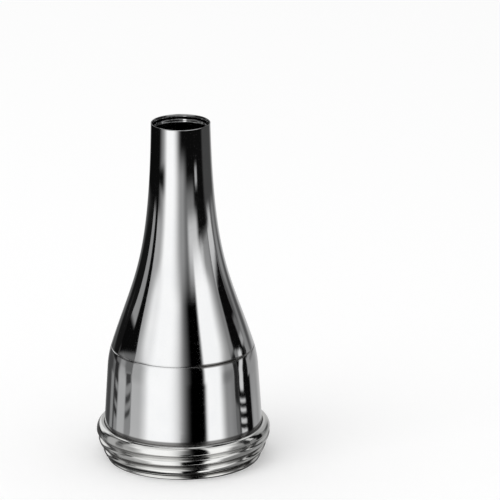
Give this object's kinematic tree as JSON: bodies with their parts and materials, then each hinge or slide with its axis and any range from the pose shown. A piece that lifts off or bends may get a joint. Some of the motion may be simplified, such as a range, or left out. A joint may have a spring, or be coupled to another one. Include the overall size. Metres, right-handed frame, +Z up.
{
  "type": "ear speculum",
  "caption": "Funnel-shaped metal ear speculum: a narrow round tip flaring into a straight sleeve on a ring with an external screw thread.",
  "frame": {"origin": "centre of the threaded collar's flat base face, which the speculum stands on", "axes": "+Z up the bore towards the narrow tip; -Y is the side seen in the picture, +X to its right"},
  "size_m": [0.0195, 0.0194, 0.0389],
  "materials": {
    "polished_plate": "mirror-polished nickel and chrome plate on thin brass",
    "turned_plate": "polished nickel plate on turned brass, with fine lathe marks",
    "silver_solder": "dull silver solder"
  },
  "bodies": {
    "root": {"funnel": "polished_plate", "body_sleeve": "polished_plate", "threaded_collar": "turned_plate", "upper_solder_ring": "silver_solder", "lower_solder_ring": "silver_solder"}
  },
  "joints": []
}
